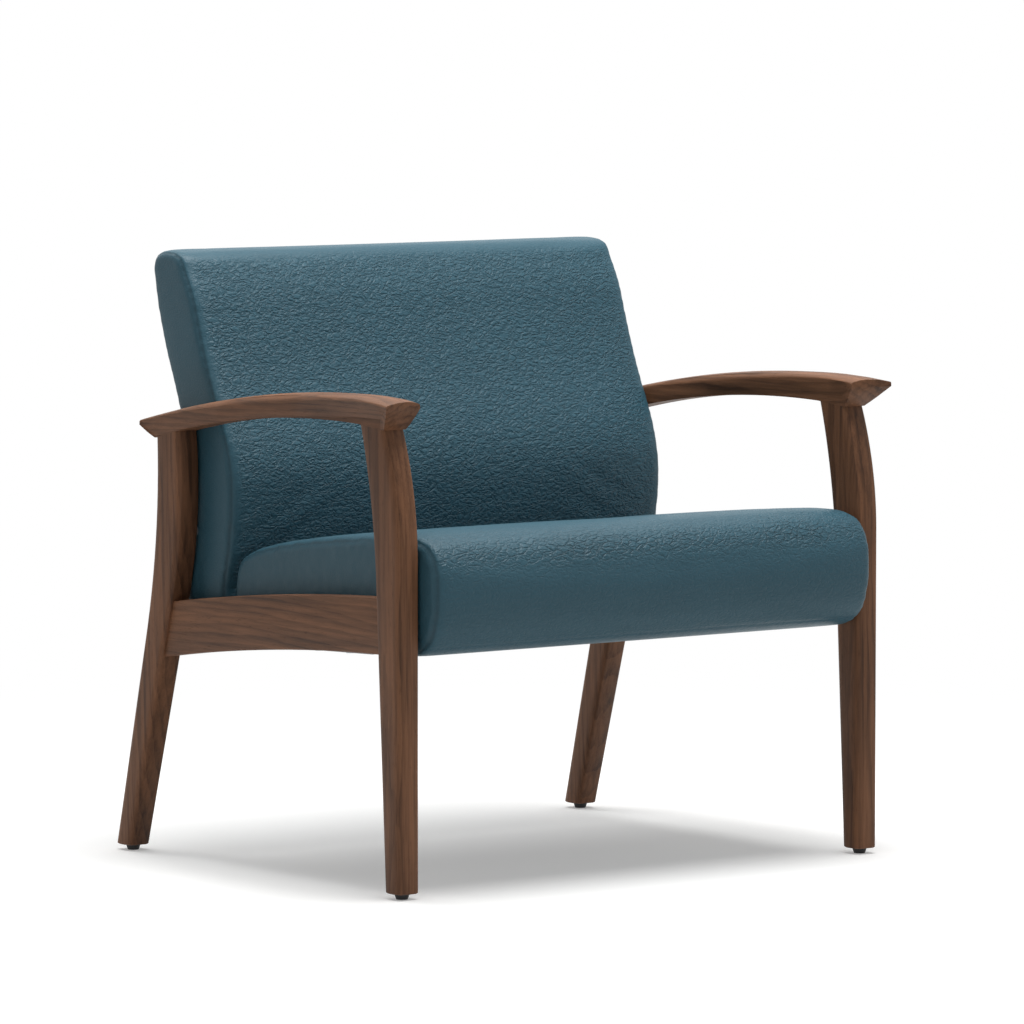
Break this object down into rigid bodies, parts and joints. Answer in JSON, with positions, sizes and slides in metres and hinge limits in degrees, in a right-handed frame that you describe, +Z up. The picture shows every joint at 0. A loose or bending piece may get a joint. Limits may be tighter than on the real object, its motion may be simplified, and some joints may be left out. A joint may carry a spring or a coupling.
{
  "type": "bariatric chair",
  "caption": "Extra-wide upholstered guest chair with a full back and seat in vinyl and a bent-leg wooden frame whose open arms flare to prow-shaped tips.",
  "frame": {"origin": "on the floor at the middle of the outer box", "axes": "+Z up; the chair faces -Y; +X is the left side of a person sitting in it"},
  "size_m": [0.893, 0.7398, 0.8686],
  "materials": {
    "walnut": "satin walnut stain",
    "beech": "plain sanded",
    "plywood": "plain sanded",
    "vinyl": "embossed teal blue vinyl, soft sheen",
    "lining": "black non-woven lining",
    "webbing": "black elastic webbing",
    "steel": "black powder coat",
    "zinc": "zinc plated",
    "glide_plastic": "matt black"
  },
  "bodies": {
    "frame": {"left_arm": "walnut", "right_arm": "walnut", "left_front_leg": "walnut", "right_front_leg": "walnut", "left_rear_leg": "walnut", "right_rear_leg": "walnut", "left_side_rail": "walnut", "right_side_rail": "walnut", "arm_dowels": "beech", "rail_dowels": "beech", "seat_cushion": "vinyl", "seat_front_rail": "beech", "seat_rear_rail": "beech", "seat_left_rail": "beech", "seat_right_rail": "beech", "seat_corner_blocks": "beech", "seat_deck": "plywood", "dust_cover": "lining", "front_cross_tube": "steel", "rear_cross_tube": "steel", "left_support_angle": "steel", "right_support_angle": "steel", "angle_bolts": "zinc", "rail_inserts": "zinc", "seat_bolts": "zinc", "seat_inserts": "zinc", "back_cushion": "vinyl", "left_back_stile": "beech", "right_back_stile": "beech", "back_top_rail": "beech", "back_lumbar_rail": "beech", "back_bottom_rail": "beech", "back_webbing": "webbing", "back_outer_panel": "vinyl", "back_sleeves": "steel", "back_bolts": "zinc", "leg_inserts": "zinc", "foot_inserts": "zinc"},
    "front_left_pad": {"front_left_glide_pad": "glide_plastic"},
    "front_left_stem": {"front_left_glide_stem": "zinc"},
    "front_right_pad": {"front_right_glide_pad": "glide_plastic"},
    "front_right_stem": {"front_right_glide_stem": "zinc"},
    "rear_left_pad": {"rear_left_glide_pad": "glide_plastic"},
    "rear_left_stem": {"rear_left_glide_stem": "zinc"},
    "rear_right_pad": {"rear_right_glide_pad": "glide_plastic"},
    "rear_right_stem": {"rear_right_glide_stem": "zinc"}
  },
  "joints": [
    {"name": "front_left_glide_drop", "type": "slide", "parent": "frame", "child": "front_left_pad", "axis": [0, 0, -1], "range_m": [0, 0.01]},
    {"name": "front_left_stem_turn", "type": "hinge", "parent": "front_left_pad", "child": "front_left_stem", "pos_m": [0.407, -0.31067, 0], "axis": [0, 0, 1], "range_deg": [0, 2881]},
    {"name": "front_right_glide_drop", "type": "slide", "parent": "frame", "child": "front_right_pad", "axis": [0, 0, -1], "range_m": [0, 0.01]},
    {"name": "front_right_stem_turn", "type": "hinge", "parent": "front_right_pad", "child": "front_right_stem", "pos_m": [-0.407, -0.31067, 0], "axis": [0, 0, 1], "range_deg": [0, 2881]},
    {"name": "rear_left_glide_drop", "type": "slide", "parent": "frame", "child": "rear_left_pad", "axis": [0, 0, -1], "range_m": [0, 0.01]},
    {"name": "rear_left_stem_turn", "type": "hinge", "parent": "rear_left_pad", "child": "rear_left_stem", "pos_m": [0.407, 0.35033, 0], "axis": [0, 0, 1], "range_deg": [0, 2881]},
    {"name": "rear_right_glide_drop", "type": "slide", "parent": "frame", "child": "rear_right_pad", "axis": [0, 0, -1], "range_m": [0, 0.01]},
    {"name": "rear_right_stem_turn", "type": "hinge", "parent": "rear_right_pad", "child": "rear_right_stem", "pos_m": [-0.407, 0.35033, 0], "axis": [0, 0, 1], "range_deg": [0, 2881]}
  ],
  "couplings": [
    {"joint": "front_left_stem_turn", "follows": "front_left_glide_drop", "rad_per_m": 5026.5},
    {"joint": "front_right_stem_turn", "follows": "front_right_glide_drop", "rad_per_m": 5026.5},
    {"joint": "rear_left_stem_turn", "follows": "rear_left_glide_drop", "rad_per_m": 5026.5},
    {"joint": "rear_right_stem_turn", "follows": "rear_right_glide_drop", "rad_per_m": 5026.5}
  ]
}
